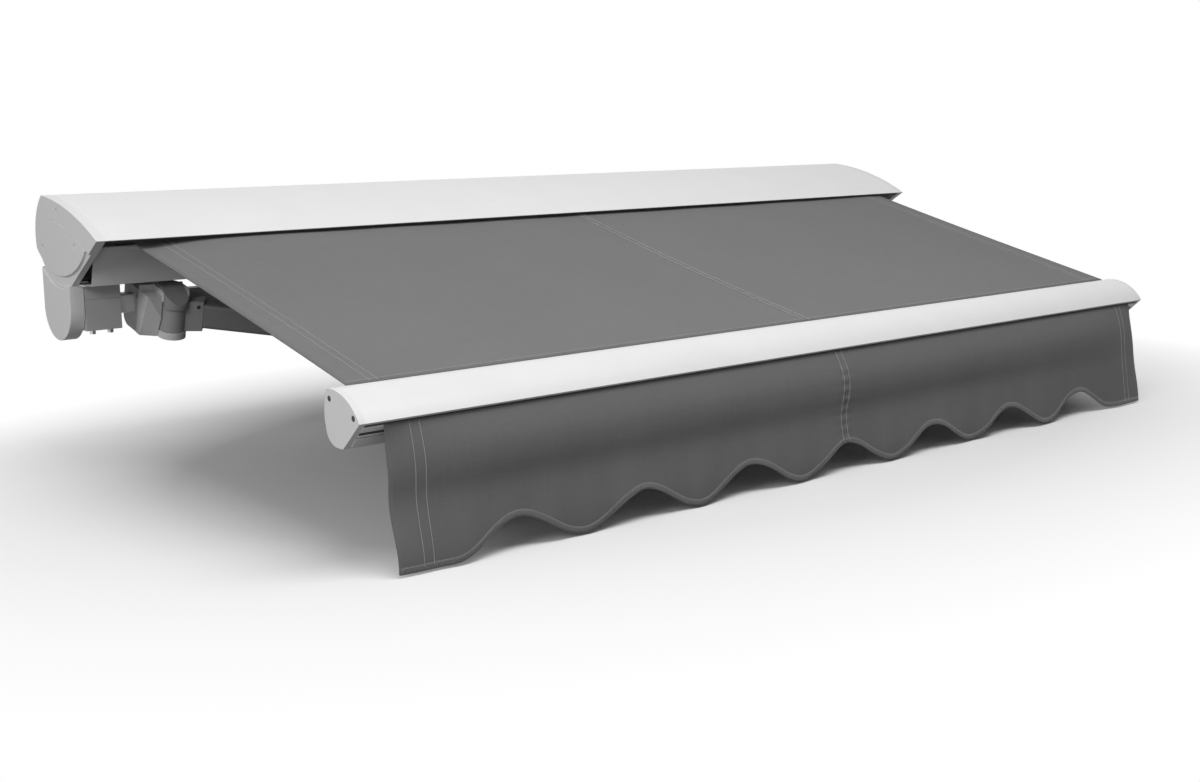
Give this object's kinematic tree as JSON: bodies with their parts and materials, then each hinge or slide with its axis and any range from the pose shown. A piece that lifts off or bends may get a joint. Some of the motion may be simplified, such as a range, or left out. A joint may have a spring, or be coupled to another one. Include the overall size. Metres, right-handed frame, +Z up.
{
  "type": "awning",
  "caption": "Wall-mounted folding-arm awning with a closed cassette, a sloping cloth on a roller, a front bar and a scalloped valance, shown part way out.",
  "frame": {"origin": "centre of the wall bolt pattern on the wall plane, midway between the two wall brackets", "axes": "+X along the width to the right seen from the front, +Y back into the wall, +Z up; the cloth falls 14 degrees towards -Y"},
  "size_m": [2.5, 1.164, 0.587],
  "materials": {
    "white_powder_coat": "satin powder coat on extruded aluminium",
    "grey_moulding": "fine-grained grey powder coat on die-cast ends",
    "bracket_coat": "grey powder coat on extruded brackets",
    "casting_coat": "grey powder coat on castings",
    "arm_coat": "satin grey powder coat on arm tubes",
    "hood_plastic": "grained moulded plastic",
    "soft_seal": "matt black seal",
    "dark_plastic": "black moulded plastic",
    "awning_cloth": "woven acrylic cloth, mid grey",
    "valance_cloth": "woven acrylic cloth, mid grey",
    "zinc_steel": "galvanised steel",
    "bright_steel": "stainless steel"
  },
  "bodies": {
    "root": {"wall_bracket_left": "bracket_coat", "wall_bracket_right": "bracket_coat", "bracket_clamp_left": "bracket_coat", "bracket_clamp_right": "bracket_coat", "clamp_bolts": "bright_steel", "torsion_bar": "zinc_steel", "bar_end_cover_left": "grey_moulding", "bar_end_cover_right": "grey_moulding", "cassette_back_profile": "white_powder_coat", "cassette_top_cover": "white_powder_coat", "cassette_lower_shell": "white_powder_coat", "cassette_lip_seal": "soft_seal", "cassette_end_cap_left": "grey_moulding", "cassette_end_cap_right": "grey_moulding", "end_cap_screws": "bright_steel", "arm_bracket_left": "casting_coat", "arm_bracket_right": "casting_coat", "shoulder_block_left": "casting_coat", "shoulder_block_right": "casting_coat", "shoulder_hood_left": "hood_plastic", "shoulder_hood_right": "hood_plastic", "shoulder_pins": "bright_steel", "block_bolts": "bright_steel", "motor_body": "zinc_steel", "motor_head": "dark_plastic", "idler_bracket": "dark_plastic"},
    "roller": {"roller_tube": "zinc_steel", "drive_adapter": "dark_plastic", "crown_ring": "dark_plastic", "idler_plug": "dark_plastic", "idler_bearing": "bright_steel", "cloth_roll": "awning_cloth"},
    "upper_arm_left": {"shoulder_casting_left": "casting_coat", "upper_arm_left": "arm_coat", "elbow_fork_left": "casting_coat", "elbow_pin_left": "bright_steel", "arm_spring_left": "bright_steel", "tension_strap_left": "dark_plastic"},
    "forearm_left": {"elbow_knuckle_left": "casting_coat", "forearm_left": "arm_coat", "front_knuckle_left": "casting_coat"},
    "front_bar": {"front_bar_profile": "white_powder_coat", "front_bar_cap_left": "grey_moulding", "front_bar_cap_right": "grey_moulding", "front_cap_screws": "bright_steel", "front_bracket_left": "casting_coat", "front_bracket_right": "casting_coat", "front_pins": "bright_steel", "keder_rods": "dark_plastic", "valance": "valance_cloth", "canopy": "awning_cloth"},
    "upper_arm_right": {"shoulder_casting_right": "casting_coat", "upper_arm_right": "arm_coat", "elbow_fork_right": "casting_coat", "elbow_pin_right": "bright_steel", "arm_spring_right": "bright_steel", "tension_strap_right": "dark_plastic"},
    "forearm_right": {"elbow_knuckle_right": "casting_coat", "forearm_right": "arm_coat", "front_knuckle_right": "casting_coat"}
  },
  "joints": [
    {"name": "left_shoulder", "type": "hinge", "parent": "root", "child": "upper_arm_left", "pos_m": [-1.03, -0.17289, -0.03666], "axis": [0, -0.2419, 0.9703], "range_deg": [0, 31.5], "deforming": ["canopy"]},
    {"name": "left_elbow", "type": "hinge", "parent": "upper_arm_left", "child": "forearm_left", "pos_m": [-0.35484, -0.6071, -0.14492], "axis": [0, -0.2419, 0.9703], "range_deg": [-63, 0]},
    {"name": "left_front_pivot", "type": "hinge", "parent": "forearm_left", "child": "front_bar", "pos_m": [-1.03, -1.04131, -0.25318], "axis": [0, -0.2419, 0.9703], "range_deg": [0, 31.5]},
    {"name": "right_shoulder", "type": "hinge", "parent": "root", "child": "upper_arm_right", "pos_m": [1.03, -0.17289, -0.03666], "axis": [0, -0.2419, 0.9703], "range_deg": [-31.5, 0]},
    {"name": "right_elbow", "type": "hinge", "parent": "upper_arm_right", "child": "forearm_right", "pos_m": [0.35484, -0.6071, -0.14492], "axis": [0, -0.2419, 0.9703], "range_deg": [0, 63]},
    {"name": "roller_spin", "type": "hinge", "parent": "root", "child": "roller", "pos_m": [0, -0.142, 0.13], "axis": [1, 0, 0], "range_deg": [-1091.47, 0]}
  ],
  "couplings": [
    {"joint": "left_elbow", "follows": "left_shoulder", "ratio": -2},
    {"joint": "left_front_pivot", "follows": "left_shoulder", "ratio": 1},
    {"joint": "right_shoulder", "follows": "left_shoulder", "ratio": -1},
    {"joint": "right_elbow", "follows": "left_shoulder", "ratio": 2},
    {"joint": "roller_spin", "follows": "left_shoulder", "ratio": -34.618}
  ]
}
